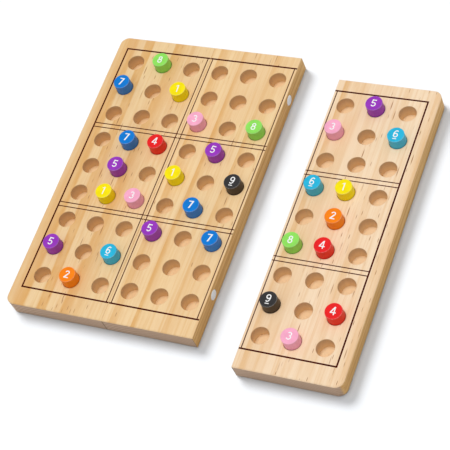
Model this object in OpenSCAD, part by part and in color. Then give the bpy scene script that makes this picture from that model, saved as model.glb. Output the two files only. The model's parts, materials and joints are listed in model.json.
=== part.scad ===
// Wooden sudoku board in three sections, which disc magnets hold edge to edge,
// with numbered pegs that stand in blind holes.
// Millimetres. +Z is up, +X runs along a row from column 1 to column 9 and +Y points to row 1.
// The origin is under the centre of the grid, on the underside of the middle section.

/* [Grid] */
// Distance between the centres of neighbouring holes
pitch = 30; // [26:0.5:40]
// Width of the dark line round the whole grid
frame_line_w = 1.4; // [0.8:0.1:2.4]
// Width of the thin dark lines between the boxes
box_line_w = 0.8; // [0.4:0.1:1.4]
// Depth of every line below the top face
line_depth = 0.3; // [0.1:0.05:0.6]
// Distance from a mating edge to the middle of the thin line beside it
seam_line_inset = 2.5; // [1.6:0.1:3.6]
// Distance between the middles of the two thin lines that part two rows of boxes
box_line_gap = 4.4; // [2.4:0.1:5.6]

/* [Board] */
// Thickness of the board
board_t = 17; // [14:0.5:24]
// Margin outside the frame line at the left and right edges
side_margin = 10.5; // [8:0.5:30]
// Margin outside the frame line beyond row 1
top_margin = 13; // [8:0.5:30]
// Margin outside the frame line beyond row 9
bottom_margin = 18.5; // [8:0.5:40]
// Radius of the four outer corners, in plan
corner_r = 8; // [3:0.5:14]
// Chamfer that eases the outer edges
edge_ease = 0.8; // [0.3:0.1:2]
// Chamfer that eases the mating edges
mating_ease = 0.3; // [0.1:0.05:0.6]
// Gap between two sections that are joined
seam_gap = 0.1; // [0.05:0.05:0.4]

/* [Holes] */
// Diameter of a hole
hole_d = 16.5; // [12:0.5:18]
// Thickness of the wood under a hole
hole_floor = 3.5; // [2:0.5:6]
// Chamfer at the rim of a hole
rim_ease = 0.35; // [0.1:0.05:1]
// Diameter of the mark that the drill's point leaves in the floor of a hole
point_mark_d = 3; // [1:0.5:5]
// Depth of that mark
point_mark_depth = 0.8; // [0.2:0.1:1.5]

/* [Pegs] */
// Radial gap between a peg and its hole
peg_gap = 0.35; // [0.1:0.05:0.5]
// Length of a peg
peg_len = 24; // [18:0.5:36]
// Radius of the rounded rim at each end of a peg
peg_rim_r = 0.6; // [0.2:0.1:2]

/* [Magnets] */
// Diameter of a disc magnet
magnet_d = 10; // [6:0.5:11]
// Thickness of a disc magnet
magnet_t = 4; // [2:0.5:6]
// Chamfer at the rims of a magnet
magnet_ease = 0.3; // [0.1:0.05:0.6]
// Radial gap between a magnet and its pocket
magnet_gap = 0.1; // [0.05:0.05:0.3]

/* [Detached right section] */
// Distance that it lies to the right of its joined place
apart_x = 44; // [10:0.5:90]
// Distance that it lies towards the front of its joined place
apart_y = 18.5; // [0:0.5:60]

/* [Hidden] */
$fn = 64;

// Holes along one side of the grid, and along one side of a box
grid_count = 9;
box_count = 3;
// Rows from the middle of the grid to a magnet, which lies half way between the last two rows
magnet_rows = grid_count / 2 - 1;
// Length by which a cut runs past the face that it opens
overrun = 1;

peg_d = hole_d - 2 * peg_gap;
grid_half = pitch * grid_count / 2;
box_w = pitch * box_count;
middle_place = (grid_count + 1) / 2;
y_front = -grid_half - bottom_margin;
y_back = grid_half + top_margin;

// Sections, from left to right
sections = ["left", "middle", "right"];

// Magnets: the section that holds it, the side that it faces out of and its half of the board
magnets = [
    for (section = sections, side = ["left", "right"], half = ["upper", "lower"])
        if (section != side) [section, side, half]
];

// Digits of the pegs in the holes, one string for each row from the back, with a dot for an empty hole
puzzle = [
    ".8.....5.",
    "7.1...3.6",
    "...3.8...",
    ".74.5.61.",
    ".5.1.9.2.",
    ".13.7.84.",
    "...5.7...",
    "5.6...9.4",
    ".2.....3.",
];

// Pegs: row and column
pegs = [
    for (row = [1 : grid_count], column = [1 : grid_count])
        if (digit_at(row, column) != ".") [row, column]
];

// Paint of the pegs, for the digits 1 to 9
peg_colours = [
    "gold", "darkorange", "pink", "crimson", "darkorchid",
    "deepskyblue", "royalblue", "limegreen", "dimgray",
];

function digit_at(row, column) = puzzle[row - 1][column - 1];
function section_name(section) = str(section, "_section");
function magnet_name(magnet) =
    str(magnet[0], "_", magnet[0] == "middle" ? str(magnet[1], "_") : "", magnet[2], "_magnet");
function peg_name(peg) = str("peg_r", peg[0], "c", peg[1]);

// Where things are
function hole_x(column) = (column - middle_place) * pitch;
function hole_y(row) = (middle_place - row) * pitch;
function order_of(section) = search([section], sections)[0];
function section_of(column) = sections[floor((column - 1) / box_count)];
function rest_offset(section) = section == "right" ? [apart_x, -apart_y, 0] : [0, 0, 0];

// A section's cell edges, which lie on the grid, and its real edges
function cell_low(section) = order_of(section) * box_w - grid_half;
function cell_high(section) = cell_low(section) + box_w;
function edge_low(section) = cell_low(section) + (section == "left" ? -side_margin : seam_gap / 2);
function edge_high(section) = cell_high(section) + (section == "right" ? side_margin : -seam_gap / 2);

// Blind hole with an eased rim and the mark of the drill's point, on the origin of the underside
module hole_cut() {
    hole_r = hole_d / 2;
    rotate_extrude()
        polygon([
            [0, hole_floor - point_mark_depth],
            [point_mark_d / 2, hole_floor],
            [hole_r, hole_floor],
            [hole_r, board_t - rim_ease],
            [hole_r + rim_ease, board_t],
            [hole_r + rim_ease, board_t + overrun],
            [0, board_t + overrun],
        ]);
}

// Groove for a line along X, or along Y, given its ends, its middle and its width
module line_along_x(x_a, x_b, y, w) {
    translate([x_a, y - w / 2, board_t - line_depth])
        cube([x_b - x_a, w, line_depth + overrun]);
}

module line_along_y(x, y_a, y_b, w) {
    translate([x - w / 2, y_a, board_t - line_depth])
        cube([w, y_b - y_a, line_depth + overrun]);
}

// Section through a plate from one edge to the other, with each edge eased by its own chamfer
module plate_profile(from, to, ease_from, ease_to) {
    polygon([
        [from + ease_from, 0],
        [to - ease_to, 0],
        [to, ease_to],
        [to, board_t - ease_to],
        [to - ease_to, board_t],
        [from + ease_from, board_t],
        [from, board_t - ease_from],
        [from, ease_from],
    ]);
}

// Everything outside a rounded and eased corner, in the quarter from +X to +Y about the corner's own centre
module corner_waste() {
    waste_r = corner_r * 2;
    rotate_extrude(angle = 90)
        polygon([
            [corner_r - edge_ease - overrun, -overrun],
            [waste_r, -overrun],
            [waste_r, board_t + overrun],
            [corner_r - edge_ease - overrun, board_t + overrun],
            [corner_r - edge_ease, board_t],
            [corner_r, board_t - edge_ease],
            [corner_r, edge_ease],
            [corner_r - edge_ease, 0],
        ]);
}

// Puts its children on a section's outer corners, mirrored so that their +X and +Y point outwards
module at_outer_corners(section) {
    x = section == "left" ? edge_low(section) + corner_r : edge_high(section) - corner_r;
    if (section != "middle")
        for (back = [false, true])
            translate([x, back ? y_back - corner_r : y_front + corner_r, 0])
                mirror([section == "left" ? 1 : 0, 0, 0])
                    mirror([0, back ? 0 : 1, 0])
                        children();
}

// A section before its holes, lines and pockets are cut
module blank(section) {
    x_low = edge_low(section);
    x_high = edge_high(section);
    ease_low = section == "left" ? edge_ease : mating_ease;
    ease_high = section == "right" ? edge_ease : mating_ease;
    difference() {
        intersection() {
            translate([0, y_back, 0])
                rotate([90, 0, 0])
                    linear_extrude(y_back - y_front)
                        plate_profile(x_low, x_high, ease_low, ease_high);
            translate([x_low, 0, 0])
                rotate([90, 0, 90])
                    linear_extrude(x_high - x_low)
                        plate_profile(y_front, y_back, edge_ease, edge_ease);
        }
        at_outer_corners(section) corner_waste();
    }
}

// Dark lines of a section: the frame round the grid, a thin line beside each mating edge
// and two thin lines across the board between the rows of boxes
module lines(section) {
    frame_reach = frame_line_w / 2;
    x_a = section == "left" ? -grid_half - frame_reach : edge_low(section) - overrun;
    x_b = section == "right" ? grid_half + frame_reach : edge_high(section) + overrun;
    for (side = [-1, 1]) {
        line_along_x(x_a, x_b, side * grid_half, frame_line_w);
        for (step = [-1, 1])
            line_along_x(x_a, x_b, side * box_w / 2 + step * box_line_gap / 2, box_line_w);
    }
    if (section == "left")
        line_along_y(-grid_half, -grid_half, grid_half, frame_line_w);
    else
        line_along_y(cell_low(section) + seam_line_inset, -grid_half, grid_half, box_line_w);
    if (section == "right")
        line_along_y(grid_half, -grid_half, grid_half, frame_line_w);
    else
        line_along_y(cell_high(section) - seam_line_inset, -grid_half, grid_half, box_line_w);
}

// Puts its children on the axis of a magnet, with +Z into the wood and zero at the mating face
module at_magnet(magnet) {
    section = magnet[0];
    faces_right = magnet[1] == "right";
    upper = magnet[2] == "upper";
    x = faces_right ? edge_high(section) : edge_low(section);
    y = magnet_rows * pitch;
    translate([x, upper ? y : -y, board_t / 2])
        rotate([0, faces_right ? -90 : 90, 0])
            children();
}

module magnet_pocket() {
    translate([0, 0, -overrun])
        cylinder(d = magnet_d + 2 * magnet_gap, h = magnet_t + overrun);
}

// One board section with its holes, lines and magnet pockets
module board_section(section) {
    color("burlywood")
        translate(rest_offset(section))
            difference() {
                blank(section);
                lines(section);
                for (row = [1 : grid_count], column = [1 : grid_count])
                    if (section_of(column) == section)
                        translate([hole_x(column), hole_y(row), 0])
                            hole_cut();
                for (m = magnets)
                    if (m[0] == section)
                        at_magnet(m) magnet_pocket();
            }
}

// Disc magnet with chamfered rims, flush with the mating face
module disc_magnet(magnet) {
    r = magnet_d / 2;
    color("silver")
        translate(rest_offset(magnet[0]))
            at_magnet(magnet)
                rotate_extrude()
                    polygon([
                        [0, 0],
                        [r - magnet_ease, 0],
                        [r, magnet_ease],
                        [r, magnet_t - magnet_ease],
                        [r - magnet_ease, magnet_t],
                        [0, magnet_t],
                    ]);
}

// Waste outside the rounded rim of a peg, about the centre of the rounding
module rim_waste() {
    difference() {
        square(peg_rim_r + overrun);
        circle(peg_rim_r);
    }
}

// Painted round peg, standing on the floor of its hole
module peg(place) {
    row = place[0];
    column = place[1];
    paint = ord(digit_at(row, column)) - ord("1");
    r = peg_d / 2;
    color(peg_colours[paint])
        translate(rest_offset(section_of(column)) + [hole_x(column), hole_y(row), hole_floor])
            rotate_extrude()
                difference() {
                    square([r, peg_len]);
                    for (top = [false, true])
                        translate([r - peg_rim_r, top ? peg_len - peg_rim_r : peg_rim_r])
                            mirror([0, top ? 0 : 1])
                                rim_waste();
                }
}

for (section = sections)
    board_section(section);
for (m = magnets)
    disc_magnet(m);
for (p = pegs)
    peg(p);
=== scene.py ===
"""Looks of a wooden sudoku board: pine sections, burnt lines, painted pegs with digits, plated magnets.

Everything is in metres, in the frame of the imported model.
"""

import json
import math
import random
from collections import namedtuple

import bmesh
import bpy
from mathutils import Matrix, Quaternion, Vector
from mathutils.geometry import delaunay_2d_cdt


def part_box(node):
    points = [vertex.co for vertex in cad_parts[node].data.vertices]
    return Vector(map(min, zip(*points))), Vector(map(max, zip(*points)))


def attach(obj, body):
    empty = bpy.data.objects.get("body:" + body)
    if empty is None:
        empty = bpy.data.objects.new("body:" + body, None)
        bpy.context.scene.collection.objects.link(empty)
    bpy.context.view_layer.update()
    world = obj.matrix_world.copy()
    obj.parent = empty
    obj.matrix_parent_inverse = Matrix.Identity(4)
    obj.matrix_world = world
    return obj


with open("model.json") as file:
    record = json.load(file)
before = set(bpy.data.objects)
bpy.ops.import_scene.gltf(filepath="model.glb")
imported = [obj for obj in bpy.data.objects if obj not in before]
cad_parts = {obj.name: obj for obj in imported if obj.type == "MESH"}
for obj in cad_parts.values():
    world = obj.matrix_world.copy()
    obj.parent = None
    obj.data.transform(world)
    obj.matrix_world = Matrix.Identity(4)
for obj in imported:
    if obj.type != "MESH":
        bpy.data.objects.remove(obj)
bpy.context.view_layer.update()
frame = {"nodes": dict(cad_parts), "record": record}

MM = 0.001

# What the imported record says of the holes
BORES = {m["name"]: m for m in frame["record"]["mounts"] if m["kind"] == "bore"}
HOLE_R = BORES["hole_r1c1"]["dims"]["r_mm"] * MM
PITCH = (BORES["hole_r1c3"]["pos_m"][0] - BORES["hole_r1c1"]["pos_m"][0]) / 2
SAMPLE_HOLE = {"left": "hole_r1c1", "middle": "hole_r1c4", "right": "hole_r1c7"}
ROWS = 9
SECTION_COLUMNS = 3
TOP_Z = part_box("middle_section")[1].z
# Width of the eased rim that still counts as part of a hole, and a height below all the floors of holes
RIM_BAND = 0.1 * MM
UNDER_HOLES = 2 * MM
# Height from which the wall of a hole is darkened towards its rim, as painted shade
RIM_SHADE_FOOT = 5 * MM


def srgb(red, green, blue):
    """A colour given as 0 to 255 on screen, as the linear values that a shader takes."""
    def linear(level):
        share = level / 255
        return share / 12.92 if share <= 0.04045 else ((share + 0.055) / 1.055) ** 2.4

    return (linear(red), linear(green), linear(blue), 1.0)


class Material:
    """A Principled material whose nodes are added by short calls."""

    def __init__(self, name):
        self.made = bpy.data.materials.new(name)
        self.made.use_nodes = True
        self.tree = self.made.node_tree
        self.tree.nodes.clear()
        self.shader = self.add("ShaderNodeBsdfPrincipled")
        output = self.add("ShaderNodeOutputMaterial")
        self.tree.links.new(self.shader.outputs["BSDF"], output.inputs["Surface"])
        source = self.add("ShaderNodeTexCoord")
        self.place = source.outputs["Object"]
        self.in_box = source.outputs["Generated"]
        self.normal = source.outputs["Normal"]

    def add(self, kind, **settings):
        node = self.tree.nodes.new(kind)
        for name, value in settings.items():
            setattr(node, name, value)
        return node

    def feed(self, socket, value):
        """Links a socket to another one, or sets a plain value on it."""
        if isinstance(value, bpy.types.NodeSocket):
            self.tree.links.new(value, socket)
        else:
            socket.default_value = value

    def set(self, **values):
        """Sets or links inputs of the shader, named with underscores."""
        for name, value in values.items():
            self.feed(self.shader.inputs[name.replace("_", " ")], value)

    def calc(self, operation, *values):
        node = self.add("ShaderNodeMath", operation=operation)
        for socket, value in zip(node.inputs, values):
            self.feed(socket, value)
        return node.outputs[0]

    def length(self, first, second):
        """Length of the vector that has these two parts."""
        squares = [self.calc("MULTIPLY", part, part) for part in (first, second)]
        return self.calc("SQRT", self.calc("ADD", *squares))

    def split(self, vector):
        node = self.add("ShaderNodeSeparateXYZ")
        self.feed(node.inputs[0], vector)
        return node.outputs

    def scaled(self, vector, scale):
        node = self.add("ShaderNodeMapping")
        self.feed(node.inputs["Vector"], vector)
        self.feed(node.inputs["Scale"], scale)
        return node.outputs[0]

    def noise(self, vector, detail=3.0, roughness=0.5):
        node = self.add("ShaderNodeTexNoise")
        self.feed(node.inputs["Vector"], vector)
        self.feed(node.inputs["Scale"], 1.0)
        self.feed(node.inputs["Detail"], detail)
        self.feed(node.inputs["Roughness"], roughness)
        return node.outputs["Fac"]

    def step(self, value, low, high, to_low=0.0, to_high=1.0):
        """A soft step from to_low to to_high, as the value goes from low to high."""
        node = self.add("ShaderNodeMapRange", interpolation_type="SMOOTHSTEP")
        for name, given in (("Value", value), ("From Min", low), ("From Max", high),
                            ("To Min", to_low), ("To Max", to_high)):
            self.feed(node.inputs[name], given)
        return node.outputs["Result"]

    def curve(self, value, stops):
        """A value between 0 and 1 that follows stops, given as pairs of place and level."""
        node = self.add("ShaderNodeValToRGB")
        ramp = node.color_ramp
        ramp.interpolation = "EASE"
        while len(ramp.elements) < len(stops):
            ramp.elements.new(1.0)
        for element, (position, level) in zip(ramp.elements, stops):
            element.position = position
            element.color = (level, level, level, 1.0)
        self.feed(node.inputs["Fac"], value)
        return node.outputs["Color"]

    def blend(self, share, first, second, mode="MIX"):
        node = self.add("ShaderNodeMix", data_type="RGBA", blend_type=mode)
        self.feed(node.inputs["Factor"], share)
        colours = [socket for socket in node.inputs if socket.type == "RGBA"]
        self.feed(colours[0], first)
        self.feed(colours[1], second)
        return next(socket for socket in node.outputs if socket.type == "RGBA")

    def bump(self, height, depth, strength):
        node = self.add("ShaderNodeBump")
        self.feed(node.inputs["Height"], height)
        self.feed(node.inputs["Distance"], depth)
        self.feed(node.inputs["Strength"], strength)
        return node.outputs["Normal"]


# Pine

# A band of golden wood on the top face. Its sharp edge crosses the middle of the board at x and leans by
# some metres per metre of length, and from there it fades out over a width, to the right (1) or left (-1)
Band = namedtuple("Band", "x lean fades width depth")
BANDS = {
    "left": (
        Band(-0.1245, 0.0, -1, 0.026, 1.0),
        Band(-0.1055, -0.02, -1, 0.012, 1.0),
        Band(-0.1165, -0.02, 1, 0.012, 1.0),
        Band(-0.0885, 0.01, 1, 0.020, 1.0),
        Band(-0.0705, 0.01, 1, 0.006, 0.35),
    ),
    "middle": (
        Band(-0.0385, 0.0, 1, 0.014, 0.75),
        Band(-0.0150, 0.007, 1, 0.0085, 1.0),
        Band(-0.0150, 0.007, 1, 0.022, 0.30),
        Band(0.0175, 0.019, 1, 0.008, 0.75),
        Band(0.0175, 0.019, 1, 0.018, 0.40),
    ),
    "right": (
        Band(0.0955, 0.0, 1, 0.010, 0.85),
        Band(0.1205, 0.0, -1, 0.032, 0.40),
        Band(0.1275, 0.0, 1, 0.008, 0.20),
        Band(0.1615, 0.0, -1, 0.012, 0.28),
        Band(0.1900, 0.0, -1, 0.010, 0.50),
    ),
}
BAND_PROFILE = ((0.0, 0.0), (0.12, 1.0), (0.40, 0.85), (0.70, 0.35), (1.0, 0.0))
# How far a band moves sideways for each metre below the top face, and how much its edge wanders
BAND_SLOPE = 1.4
BAND_SWAY = 2.4 * MM

# Where each section holds resin flecks, from one x to another, and the share of places that hold one
FLECKS = {"left": (-0.112, -0.052, 0.45), "middle": (-0.045, 0.045, 0.12), "right": (0.124, 0.186, 0.40)}
# Cells per metre across and along the grain, for short flecks and for long ones
FLECK_CELLS = ((270, 36, 1), (190, 17, 1))
FLECK_FADE = 6 * MM

# Axis of the tree behind the end grain, and the thickness of one year
PITH_X = {"left": -0.075, "middle": 0.02, "right": 0.120}
PITH_Z = -0.055
YEAR_T = 3.2 * MM

# Which ends of a section's x-range are mating faces, and how far from them the end grain is darkened as
# painted shade of the seam
MATING_ENDS = {"left": (1,), "middle": (0, 1), "right": (0,)}
SEAM_SHADE_BAND = 0.9 * MM

# Scales of the noise, per metre, and settings of its finer kind
SWAY_SCALE = (11, 4.5, 11)
CLOUD_SCALE = (26, 8, 26)
MOTTLE_SCALE = (150, 45, 150)
STREAK_SCALE = (420, 9, 420)
FINE = {"detail": 4.0, "roughness": 0.6}

# Soft steps, as Material.step takes them: from and to which value, and where they lead from and to
NOISE_STEP = (0.3, 0.7)
BAND_FADING = (0.35, 0.60, 0.62, 1.0)
FLECK_EDGE = (0.04, 0.12, 1.0, 0.0)
FLECK_TONE = (0.0, 1.0, 0.2, 0.9)
FLECK_CHANCE = 0.02
CLOUD_STEP = (0.42, 0.75, 0.0, 0.5)
MOTTLE_STEP = (0.40, 0.72, 0.0, 0.45)
STREAK_STEP = (0.38, 0.75, 0.0, 0.38)
YEAR_STEP = (0.2, 1.0)
SIDE_STEP = (0.35, 0.7)
SEAM_STEP = (0.0, SEAM_SHADE_BAND, 0.8, 0.0)
LEVEL_STEP = (0.7, 0.9)
UPRIGHT_STEP = (0.3, 0.5, 1.0, 0.0)
END_STEP = (0.55, 0.85)
PINE_ROUGHNESS = (*NOISE_STEP, 0.5, 0.62)

# Share in a hole of its pale drilled wood, lightened with painted light, spacing and height of the drill's
# marks, and height of the grain
HOLE_WOOD_SHARE = 0.75
TOOL_STEP = 0.8 * MM
TOOL_HEIGHT = 0.15
GOLD_HEIGHT = 0.3
GRAIN_DEPTH = 0.1 * MM
GRAIN_BUMP = 0.4
PINE_SPECULAR = 0.15

EARLY_WOOD = {"left": srgb(240, 209, 161), "middle": srgb(244, 213, 165), "right": srgb(248, 223, 191)}
LATE_WOOD = srgb(221, 166, 92)
BLUSH = {"left": srgb(229, 190, 143), "middle": srgb(234, 196, 148), "right": srgb(241, 209, 172)}
FLECK = srgb(160, 104, 60)
END_LIGHT = srgb(197, 167, 142)
END_DARK = srgb(182, 151, 126)
# Painted shade of the seams on the end grain
SEAM_PAINTED_SHADE = srgb(92, 68, 52)
SIDE_LIGHT = srgb(234, 190, 125)
SIDE_DARK = srgb(208, 158, 93)
# Pale drilled wood of a hole's wall and floor, lightened further as painted light
HOLE_WOOD_WITH_PAINTED_LIGHT = srgb(247, 218, 176)
# Painted shade at the rim of a hole's wall
WALL_PAINTED_SHADE_AT_RIM = srgb(214, 178, 134)


def bands(m, section):
    """How golden the wood is at a point, from 0 to 1."""
    x, y, z = m.split(m.place)
    wander = m.noise(m.scaled(m.place, SWAY_SCALE), detail=2.0)
    x = m.calc("ADD", x, m.calc("MULTIPLY_ADD", wander, 2 * BAND_SWAY, -BAND_SWAY))
    below = m.calc("SUBTRACT", TOP_Z, z)
    gold = 0.0
    for band in BANDS[section]:
        edge = m.calc("MULTIPLY_ADD", y, band.lean, band.x)
        off = m.calc("MULTIPLY_ADD", below, band.fades * BAND_SLOPE, m.calc("SUBTRACT", x, edge))
        tone = m.curve(m.calc("MULTIPLY", off, band.fades / band.width), BAND_PROFILE)
        gold = m.calc("MAXIMUM", gold, m.calc("MULTIPLY", tone, band.depth))
    fading = m.noise(m.scaled(m.place, MOTTLE_SCALE), **FINE)
    return m.calc("MULTIPLY", gold, m.step(fading, *BAND_FADING))


def flecks(m, section):
    """Thin resin streaks along the grain, on the level faces."""
    low, high, share = FLECKS[section]
    x = m.split(m.place)[0]
    seen = 0.0
    for cells in FLECK_CELLS:
        node = m.add("ShaderNodeTexVoronoi", voronoi_dimensions="2D", feature="F1")
        m.feed(node.inputs["Vector"], m.scaled(m.place, cells))
        m.feed(node.inputs["Scale"], 1.0)
        chance, tone, _ = m.split(node.outputs["Color"])
        streak = m.step(node.outputs["Distance"], *FLECK_EDGE)
        streak = m.calc("MULTIPLY", streak, m.step(chance, 1 - share, 1 + FLECK_CHANCE - share))
        seen = m.calc("MAXIMUM", seen, m.calc("MULTIPLY", streak, m.step(tone, *FLECK_TONE)))
    for limit in (m.step(m.calc("ABSOLUTE", m.split(m.normal)[2]), *LEVEL_STEP),
                  m.step(x, low - FLECK_FADE, low),
                  m.step(x, high, high + FLECK_FADE, 1.0, 0.0)):
        seen = m.calc("MULTIPLY", seen, limit)
    return seen


def years(m, section):
    """Growth rings of the end grain, from 0 to 1."""
    x, _, z = m.split(m.place)
    radius = m.length(m.calc("SUBTRACT", x, PITH_X[section]), m.calc("SUBTRACT", z, PITH_Z))
    wander = m.noise(m.scaled(m.place, CLOUD_SCALE))
    return m.calc("FRACT", m.calc("ADD", m.calc("DIVIDE", radius, YEAR_T), wander))


def hole_polar(m, section):
    """Distance from the axis of the nearest hole, and 1 inside that hole."""
    x, y, z = m.split(m.place)
    corner = BORES[SAMPLE_HOLE[section]]["pos_m"]
    off_x = m.calc("SUBTRACT", x, corner[0] + (SECTION_COLUMNS - 1) / 2 * PITCH)
    off_y = m.calc("SUBTRACT", y, corner[1] - (ROWS - 1) / 2 * PITCH)
    in_columns = m.calc("LESS_THAN", m.calc("ABSOLUTE", off_x), SECTION_COLUMNS / 2 * PITCH)
    in_rows = m.calc("LESS_THAN", m.calc("ABSOLUTE", off_y), ROWS / 2 * PITCH)
    r = m.length(m.calc("WRAP", off_x, PITCH / 2, -PITCH / 2), m.calc("WRAP", off_y, PITCH / 2, -PITCH / 2))
    near = m.calc("LESS_THAN", r, HOLE_R + RIM_BAND)
    inside = m.calc("MULTIPLY", near, m.calc("GREATER_THAN", z, UNDER_HOLES))
    return r, m.calc("MULTIPLY", inside, m.calc("MULTIPLY", in_columns, in_rows))


def pine(section):
    m = Material(f"pine_{section}")
    x, _, z = m.split(m.place)
    _, n_y, n_z = m.split(m.normal)
    gold = bands(m, section)
    streak = m.noise(m.scaled(m.place, STREAK_SCALE), **FINE)
    cloud = m.noise(m.scaled(m.place, CLOUD_SCALE))
    fleck = flecks(m, section)
    wood = m.blend(gold, EARLY_WOOD[section], LATE_WOOD)
    wood = m.blend(m.step(cloud, *CLOUD_STEP), wood, BLUSH[section])
    mottle = m.noise(m.scaled(m.place, MOTTLE_SCALE), **FINE)
    wood = m.blend(m.step(mottle, *MOTTLE_STEP), wood, BLUSH[section])
    wood = m.blend(m.step(streak, *STREAK_STEP), wood, LATE_WOOD)
    wood = m.blend(fleck, wood, FLECK)
    end_wood = m.blend(m.step(years(m, section), *YEAR_STEP), END_LIGHT, END_DARK)
    # Painted shade: the end grain darkens next to each mating face, where the seam lies
    for end in MATING_ENDS[section]:
        off = m.calc("ABSOLUTE", m.calc("SUBTRACT", x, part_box(f"{section}_section")[end].x))
        end_wood = m.blend(m.step(off, *SEAM_STEP), end_wood, SEAM_PAINTED_SHADE)
    side_wood = m.blend(m.step(streak, *SIDE_STEP), SIDE_LIGHT, SIDE_DARK)

    r, in_hole = hole_polar(m, section)
    open_face = m.calc("SUBTRACT", 1.0, in_hole)
    upright = m.calc("MULTIPLY", open_face, m.step(m.calc("ABSOLUTE", n_z), *UPRIGHT_STEP))
    on_end = m.step(m.calc("ABSOLUTE", n_y), *END_STEP)
    wood = m.blend(upright, wood, m.blend(on_end, side_wood, end_wood))
    # Painted shade: the wall of a hole darkens from its foot up to its rim
    wall = m.blend(m.step(z, RIM_SHADE_FOOT, TOP_Z), HOLE_WOOD_WITH_PAINTED_LIGHT, WALL_PAINTED_SHADE_AT_RIM)
    # Painted light: the pale drilled wood lifts the wall and floor of each hole, which lie in shade
    wood = m.blend(m.calc("MULTIPLY", in_hole, HOLE_WOOD_SHARE), wood, wall)

    # The drill leaves fine rings round the wall and circles on the floor of a hole
    turn = m.calc("MULTIPLY", m.calc("ADD", r, z), 2 * math.pi / TOOL_STEP)
    tool = m.calc("MULTIPLY", m.calc("SINE", turn), m.calc("MULTIPLY", in_hole, TOOL_HEIGHT))
    relief = m.calc("SUBTRACT", m.calc("MULTIPLY_ADD", gold, GOLD_HEIGHT, streak), fleck)
    m.set(Base_Color=wood, Roughness=m.step(streak, *PINE_ROUGHNESS), Specular_IOR_Level=PINE_SPECULAR,
          Normal=m.bump(m.calc("ADD", relief, tool), GRAIN_DEPTH, GRAIN_BUMP))
    return m.made


# Other finishes

# Paint of each material slot of the pegs, with the digit that it stands for
PAINTS = {
    "paint_yellow": ("1", srgb(254, 232, 0)),
    "paint_orange": ("2", srgb(254, 133, 12)),
    "paint_pink": ("3", srgb(252, 173, 203)),
    "paint_red": ("4", srgb(237, 30, 32)),
    "paint_purple": ("5", srgb(152, 54, 189)),
    "paint_cyan": ("6", srgb(38, 184, 223)),
    "paint_blue": ("7", srgb(0, 122, 212)),
    "paint_green": ("8", srgb(146, 229, 96)),
    "paint_charcoal": ("9", srgb(48, 47, 48)),
}


# Paint: its noise, its deepest and palest tone, where it thins on the rim and carries worn spots with a
# painted highlight (in shares of the peg's box), and its relief
PAINT_CLOUD_SCALE = (190, 190, 120)
PAINT_SPECK_SCALE = (1500, 1500, 1500)
TURNING_SCALE = (30, 30, 1400)
PAINT_TONES = (0.93, 1.04)
RIM_RADIUS = (0.45, 0.5)
RIM_HEIGHT = (0.965, 0.99)
RIM_WEAR_AND_HIGHLIGHT_STEP = (0.4, 0.7, 0.05, 0.3)
# Worn paint on the rim, lightened towards white as a painted highlight
WORN_RIM_AND_PAINTED_HIGHLIGHT = srgb(250, 246, 240)
# Painted reflection of the warm wood on the side of a peg, and its share by how far a face looks up
PAINTED_WOOD_REFLECTION = srgb(225, 170, 60)
PAINTED_REFLECTION_STEP = (0.2, 0.6, 0.06, 0.0)
PAINT_ROUGHNESS = (*NOISE_STEP, 0.4, 0.5)
PAINT_SPECULAR = 0.12
TURNING_HEIGHT = 0.5
PAINT_DEPTH = 0.03 * MM
PAINT_BUMP = 0.35


def tinted(colour, factor):
    return (*(min(1.0, c * factor) for c in colour[:3]), 1.0)


def paint(name, colour):
    """Satin paint on a turned peg: a little uneven, thinner on the rim, turned; painted highlight on the
    rim, painted wood reflection on the side.
    """
    m = Material(name)
    g_x, g_y, g_z = m.split(m.in_box)
    r = m.length(m.calc("SUBTRACT", g_x, 0.5), m.calc("SUBTRACT", g_y, 0.5))
    cloud = m.noise(m.scaled(m.place, PAINT_CLOUD_SCALE), detail=3.0)
    speck = m.noise(m.scaled(m.place, PAINT_SPECK_SCALE), detail=2.0)
    deep, pale = (tinted(colour, tone) for tone in PAINT_TONES)
    coat = m.blend(m.step(cloud, *NOISE_STEP), deep, pale)
    upward = m.calc("ABSOLUTE", m.split(m.normal)[2])
    # Painted reflection: warm light of the wood painted on the side of the peg
    coat = m.blend(m.step(upward, *PAINTED_REFLECTION_STEP), coat, PAINTED_WOOD_REFLECTION)
    # Worn spots on the rim, lightened towards white as a painted highlight
    at_rim = m.calc("MULTIPLY", m.step(r, *RIM_RADIUS), m.step(g_z, *RIM_HEIGHT))
    coat = m.blend(m.calc("MULTIPLY", at_rim, m.step(speck, *RIM_WEAR_AND_HIGHLIGHT_STEP)), coat, WORN_RIM_AND_PAINTED_HIGHLIGHT)
    turned = m.noise(m.scaled(m.place, TURNING_SCALE), detail=2.0)
    relief = m.calc("ADD", m.calc("MULTIPLY", turned, TURNING_HEIGHT), speck)
    m.set(Base_Color=coat, Roughness=m.step(cloud, *PAINT_ROUGHNESS), Specular_IOR_Level=PAINT_SPECULAR,
          Normal=m.bump(relief, PAINT_DEPTH, PAINT_BUMP))
    return m.made


INK_SCALE = (900, 900, 900)
INK_THIN = srgb(238, 238, 238)
INK_FULL = srgb(252, 252, 252)
INK_ROUGHNESS = 0.5
INK_DEPTH = 0.02 * MM
INK_BUMP = 0.3


def ink():
    """White print of the digits, a little uneven where it lies thin."""
    m = Material("white_print")
    cover = m.noise(m.scaled(m.place, INK_SCALE), detail=3.0)
    m.set(Base_Color=m.blend(m.step(cover, *NOISE_STEP), INK_THIN, INK_FULL), Roughness=INK_ROUGHNESS,
          Normal=m.bump(cover, INK_DEPTH, INK_BUMP))
    return m.made


CHAR_SCALE = (500, 500, 500)
CHAR_STEP = (0.35, 0.75)
CHAR_DARK = srgb(64, 9, 3)
CHAR_BROWN = srgb(88, 20, 9)
CHAR_ROUGHNESS = 0.9
CHAR_SPECULAR = 0.05
CHAR_DEPTH = 0.1 * MM
CHAR_BUMP = 0.5


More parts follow.
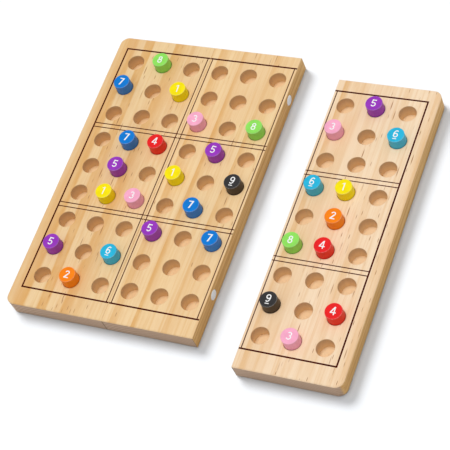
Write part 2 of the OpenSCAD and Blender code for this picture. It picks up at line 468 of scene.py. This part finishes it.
def burn():
    """Dark burnt wood of the lines."""
    m = Material("burnt_line")
    char = m.noise(m.scaled(m.place, CHAR_SCALE), **FINE)
    m.set(Base_Color=m.blend(m.step(char, *CHAR_STEP), CHAR_DARK, CHAR_BROWN), Roughness=CHAR_ROUGHNESS,
          Specular_IOR_Level=CHAR_SPECULAR, Normal=m.bump(char, CHAR_DEPTH, CHAR_BUMP))
    return m.made


HAZE_SCALE = (700, 2400, 700)
NICKEL_DULL = srgb(240, 241, 243)
NICKEL_BRIGHT = srgb(250, 250, 251)
NICKEL_ROUGHNESS = (*NOISE_STEP, 0.28, 0.4)
NICKEL_DEPTH = 0.01 * MM
NICKEL_BUMP = 0.15


def plating():
    """Bright nickel on the magnets, with a fine brushed haze."""
    m = Material("nickel_plating")
    haze = m.noise(m.scaled(m.place, HAZE_SCALE), detail=3.0)
    m.set(Base_Color=m.blend(haze, NICKEL_DULL, NICKEL_BRIGHT), Metallic=1.0,
          Roughness=m.step(haze, *NICKEL_ROUGHNESS), Normal=m.bump(haze, NICKEL_DEPTH, NICKEL_BUMP))
    return m.made


# Pieces

# Least upward part of the normal of a face that looks up, and of one that is level
LOOKS_UP = 0.5
IS_LEVEL = 0.99


def new_piece(name, shape, material, body):
    """Turns a bmesh into a piece that rides on a body."""
    mesh = bpy.data.meshes.new(name)
    shape.to_mesh(mesh)
    shape.free()
    mesh.materials.append(material)
    piece = bpy.data.objects.new(name, mesh)
    bpy.context.scene.collection.objects.link(piece)
    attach(piece, body)
    return piece


def thicken(shape, height):
    """Turns a flat sheet into a solid, and returns the edges round its upper face."""
    made = bmesh.ops.extrude_face_region(shape, geom=shape.faces[:])["geom"]
    raised = [v for v in made if isinstance(v, bmesh.types.BMVert)]
    bmesh.ops.translate(shape, vec=(0, 0, height), verts=raised)
    bmesh.ops.recalc_face_normals(shape, faces=shape.faces[:])
    upper = {f for f in shape.faces if f.normal.z > LOOKS_UP}
    return [e for e in shape.edges if len(upper.intersection(e.link_faces)) == 1]


# Lines: a burnt layer on the floor of each groove, and a thin scorched film beside it on the top face

GROOVE_LEAST = 0.1 * MM
GROOVE_MOST = 1.0 * MM
BURN_T = 0.27 * MM
SCORCH_W = 0.09 * MM
SCORCH_T = 0.012 * MM
SCORCH_SUNK = 0.004 * MM
# The lines end this far from the mating faces, whose upper edges are eased
LINE_END = 0.3 * MM
WELD = 0.001 * MM


def outward(edge):
    """Unit normal of a sheet's open edge, in the plane of the sheet and away from its face."""
    first, second = (v.co.xy for v in edge.verts)
    along = (second - first).normalized()
    normal = Vector((along.y, -along.x))
    inwards = edge.link_faces[0].calc_center_median().xy - first
    return -normal if normal.dot(inwards) > 0 else normal


def scorched_edges(sheet, least_x, most_x):
    """A thin solid on the top face along the outline of a flat sheet, between two places."""
    open_edges = [e for e in sheet.edges if e.is_boundary]
    normals = {}
    for edge in open_edges:
        for corner in edge.verts:
            normals.setdefault(corner, []).append(outward(edge))
    film = bmesh.new()
    inner, outer = {}, {}
    for corner, (first, second) in normals.items():
        reach = (first + second) / (1 + first.dot(second)) * SCORCH_W
        place = corner.co.xy + reach
        place.x = min(max(place.x, least_x), most_x)
        inner[corner] = film.verts.new((*corner.co.xy, TOP_Z - SCORCH_SUNK))
        outer[corner] = film.verts.new((*place, TOP_Z - SCORCH_SUNK))
    for edge in open_edges:
        first, second = edge.verts
        film.faces.new((inner[first], inner[second], outer[second], outer[first]))
    bmesh.ops.dissolve_degenerate(film, dist=WELD, edges=film.edges[:])
    thicken(film, SCORCH_T)
    return film


def burnt_lines(section, material):
    node = f"{section}_section"
    source = frame["nodes"][node].data
    shape = bmesh.new()
    for face in source.polygons:
        if face.normal.z > IS_LEVEL and GROOVE_LEAST < TOP_Z - face.center.z < GROOVE_MOST:
            shape.faces.new([shape.verts.new(source.vertices[i].co) for i in face.vertices])
    bmesh.ops.remove_doubles(shape, verts=shape.verts[:], dist=WELD)
    low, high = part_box(node)
    least_x, most_x = low.x + LINE_END, high.x - LINE_END
    for corner in shape.verts:
        corner.co.x = min(max(corner.co.x, least_x), most_x)
    film = scorched_edges(shape, least_x, most_x)
    thicken(shape, BURN_T)
    new_piece(f"{section}_lines", shape, material, f"{section}_board")
    new_piece(f"{section}_line_edges", film, material, f"{section}_board")


# Digits: strokes in units of the digit's height, with the middle of the digit at zero

STROKE = 0.13
DIGIT_H = 7.8 * MM
PRINT_T = 0.12 * MM
PRINT_SUNK = 0.02 * MM
PRINT_EASE = 0.03 * MM
ARC_STEPS = 20
# Most that a digit is turned on its peg, the seed of these turns, and the bend that counts as straight
LARGEST_TURN = math.radians(3)
TURN_SEED = 9
STRAIGHT = math.radians(0.5)
# What delaunay_2d_cdt returns: the faces inside the outlines
INSIDE_FACES = 1


def slab(x_top, x_low, y_top, y_low, width=STROKE):
    """A straight stroke with level ends."""
    half = width / 2
    return [[(x_low - half, y_low), (x_low + half, y_low), (x_top + half, y_top), (x_top - half, y_top)]]


def bar(x_left, x_right, y, width=STROKE):
    middle = (x_left + x_right) / 2
    return slab(middle, middle, y + width / 2, y - width / 2, x_right - x_left)


def bow(x, y, r_x, r_y, start, end):
    """A stroke along an ellipse, between two angles in degrees."""
    half = STROKE / 2
    steps = math.ceil(ARC_STEPS * abs(end - start) / 180)
    angles = [math.radians(start + (end - start) * i / steps) for i in range(steps + 1)]
    inner = [(x + (r_x - half) * math.cos(a), y + (r_y - half) * math.sin(a)) for a in angles]
    outer = [(x + (r_x + half) * math.cos(a), y + (r_y + half) * math.sin(a)) for a in angles]
    return [[inner[i], outer[i], outer[i + 1], inner[i + 1]] for i in range(steps)]


def turned_over(strokes):
    return [[(-x, -y) for x, y in stroke] for stroke in strokes]


SIX = bow(0, -0.18, 0.225, 0.235, 0, 360) + bow(0.05, -0.08, 0.275, 0.495, 180, 52)
UNDERLINE = bar(-0.24, 0.24, -0.66, 0.1)
DIGITS = {
    "1": slab(0.06, 0.06, 0.5, -0.5) + slab(0.06, -0.16, 0.47, 0.31, 0.2),
    "2": bow(0, 0.205, 0.22, 0.21, 170, -25) + slab(0.165, -0.2, 0.12, -0.4, 0.22)
         + bar(-0.3, 0.31, -0.415),
    "3": bow(-0.02, 0.215, 0.205, 0.2, 155, -90) + bow(-0.02, -0.195, 0.235, 0.22, 90, -160),
    "4": slab(0.12, 0.12, 0.5, -0.5) + bar(-0.35, 0.34, -0.215) + slab(0.12, -0.265, 0.5, -0.15, 0.17),
    "5": bar(-0.2, 0.27, 0.415) + slab(-0.165, -0.215, 0.5, -0.02)
         + bow(-0.01, -0.175, 0.235, 0.24, 140, -155),
    "6": SIX + UNDERLINE,
    "7": bar(-0.3, 0.31, 0.415) + slab(0.21, -0.1, 0.4, -0.5, 0.19),
    "8": bow(0, 0.225, 0.19, 0.19, 0, 360) + bow(0, -0.19, 0.23, 0.225, 0, 360),
    "9": turned_over(SIX) + UNDERLINE,
}


def counter_clockwise(outline):
    area = sum(a[0] * b[1] - a[1] * b[0] for a, b in zip(outline, outline[1:] + outline[:1]))
    return outline if area > 0 else outline[::-1]


def digit_sheet(strokes):
    """One flat mesh, in metres, that covers all the strokes of a digit and is centred on the origin."""
    points, outlines = [], []
    for stroke in map(counter_clockwise, strokes):
        outlines.append(range(len(points), len(points) + len(stroke)))
        points += [Vector(p) * DIGIT_H for p in stroke]
    heights = [p.y for p in points]
    middle = Vector((0, (max(heights) + min(heights)) / 2))
    centred = [p - middle for p in points]
    spots, _, faces, _, _, sources = delaunay_2d_cdt(centred, [], outlines, INSIDE_FACES, WELD)
    shape = bmesh.new()
    corners = [shape.verts.new((spot.x, spot.y, 0)) for spot in spots]
    for face, source in zip(faces, sources):
        if source:
            shape.faces.new([corners[i] for i in face])
    bmesh.ops.delete(shape, geom=[v for v in shape.verts if not v.link_faces], context="VERTS")
    bmesh.ops.dissolve_limit(shape, angle_limit=STRAIGHT, verts=shape.verts[:], edges=shape.edges[:])
    return shape


def digit(peg, slot, material, turn):
    """The printed digit on the upper end of a peg."""
    low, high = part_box(peg)
    shape = digit_sheet(DIGITS[PAINTS[slot][0]])
    rim = thicken(shape, PRINT_T)
    bmesh.ops.bevel(shape, geom=rim, offset=PRINT_EASE, segments=2, affect="EDGES", profile=0.5)
    place = Matrix.Translation(((low.x + high.x) / 2, (low.y + high.y) / 2, high.z - PRINT_SUNK))
    bmesh.ops.transform(shape, matrix=place @ Matrix.Rotation(turn, 4, "Z"), verts=shape.verts[:])
    return new_piece(peg.replace("peg", "digit"), shape, material, peg)


def dress():
    """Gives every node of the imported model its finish, and adds the lines and the digits."""
    print_ink, burnt, nickel = ink(), burn(), plating()
    paints = {slot: paint(slot, colour) for slot, (_, colour) in PAINTS.items()}
    turns = random.Random(TURN_SEED)
    for part in frame["record"]["subparts"]:
        node, slot = part["node"], part["material_slot"]
        materials = frame["nodes"][node].data.materials
        materials.clear()
        if slot in PAINTS:
            materials.append(paints[slot])
            digit(node, slot, print_ink, turns.uniform(-LARGEST_TURN, LARGEST_TURN))
        elif slot == "magnet":
            materials.append(nickel)
        else:
            section = node.removesuffix("_section")
            materials.append(pine(section))
            burnt_lines(section, burnt)


# Stage

# The sky and a broad lamp overhead light a level white surface to white between them. A lamp from the left
# lights the floor alone, and lays the soft shadow of the board on it
SKY = (0.50, 0.51, 0.52)
OVERHEAD_HEIGHT = math.radians(88)
OVERHEAD_SIZE = math.radians(24)
SHADOW_LAMP = (0.90, 0.90, 0.90)
SHADOW_LAMP_HEIGHT = math.radians(50)
SHADOW_LAMP_SIZE = math.radians(26)
SHADOW_TO = Vector((0.84, -0.54))
FLOOR_HALF = 4.0
FLOOR_DROP = 0.2 * MM
FLOOR_BOUNCE = (0.43, 0.43, 0.43, 1.0)
FLOOR_SEEN = (0.54, 0.555, 0.575, 1.0)
WHITE = (1.0, 1.0, 1.0, 1.0)


def seen_ray(tree):
    """1 for rays that show the backdrop or its reflection, 0 for those that only gather its light."""
    rays = tree.nodes.new("ShaderNodeLightPath").outputs
    seen = rays["Is Camera Ray"]
    for kind in ("Is Glossy Ray", "Is Transmission Ray"):
        either = tree.nodes.new("ShaderNodeMath")
        either.operation = "MAXIMUM"
        tree.links.new(seen, either.inputs[0])
        tree.links.new(rays[kind], either.inputs[1])
        seen = either.outputs[0]
    return seen


def floor():
    m = Material("white_floor")
    colour = m.blend(seen_ray(m.tree), FLOOR_BOUNCE, FLOOR_SEEN)
    m.set(Base_Color=colour, Roughness=1.0, Specular_IOR_Level=0.0)
    shape = bmesh.new()
    bmesh.ops.create_grid(shape, size=FLOOR_HALF, matrix=Matrix.Translation((0, 0, -FLOOR_DROP)))
    mesh = bpy.data.meshes.new("floor")
    shape.to_mesh(mesh)
    shape.free()
    mesh.materials.append(m.made)
    ground = bpy.data.objects.new("floor", mesh)
    bpy.context.scene.collection.objects.link(ground)
    return ground


def sky():
    world = bpy.data.worlds.new("sky")
    world.use_nodes = True
    tree = world.node_tree
    backdrop = next(n for n in tree.nodes if n.type == "BACKGROUND")
    tint = tree.nodes.new("ShaderNodeMix")
    tint.data_type = "RGBA"
    tree.links.new(seen_ray(tree), tint.inputs["Factor"])
    colours = [socket for socket in tint.inputs if socket.type == "RGBA"]
    colours[0].default_value = (*SKY, 1.0)
    colours[1].default_value = WHITE
    result = next(socket for socket in tint.outputs if socket.type == "RGBA")
    tree.links.new(result, backdrop.inputs["Color"])
    bpy.context.scene.world = world


def lamp(name, level, height, size):
    """A distant lamp that lights a level white surface to this level."""
    data = bpy.data.lights.new(name, "SUN")
    data.angle = size
    data.color = level
    data.energy = math.pi / math.sin(height)
    holder = bpy.data.objects.new(name, data)
    along = SHADOW_TO.normalized() * math.cos(height)
    holder.rotation_mode = "QUATERNION"
    holder.rotation_quaternion = Vector((along.x, along.y, -math.sin(height))).to_track_quat("-Z", "Y")
    bpy.context.scene.collection.objects.link(holder)
    return holder


def light(ground):
    sky()
    lamp("overhead", [1 - level for level in SKY], OVERHEAD_HEIGHT, OVERHEAD_SIZE)
    lit = bpy.data.collections.new("lit_by_shadow_lamp")
    lit.objects.link(ground)
    side = lamp("shadow_lamp", SHADOW_LAMP, SHADOW_LAMP_HEIGHT, SHADOW_LAMP_SIZE)
    side.light_linking.receiver_collection = lit


# Camera

CAMERA_AT = Vector((0.6563, -0.6832, 1.2412))
CAMERA_AIM = Vector((0.0344, -0.0394, 0.017))
CAMERA_ROLL = math.radians(-28.62)
LENS_MM = 136.2


def camera():
    data = bpy.data.cameras.new("camera")
    data.lens = LENS_MM
    holder = bpy.data.objects.new("camera", data)
    holder.location = CAMERA_AT
    holder.rotation_mode = "QUATERNION"
    facing = (CAMERA_AIM - CAMERA_AT).to_track_quat("-Z", "Y")
    holder.rotation_quaternion = facing @ Quaternion((0, 0, 1), CAMERA_ROLL)
    bpy.context.scene.collection.objects.link(holder)
    bpy.context.scene.camera = holder


dress()
light(floor())
camera()
bpy.context.scene.view_settings.view_transform = "Standard"
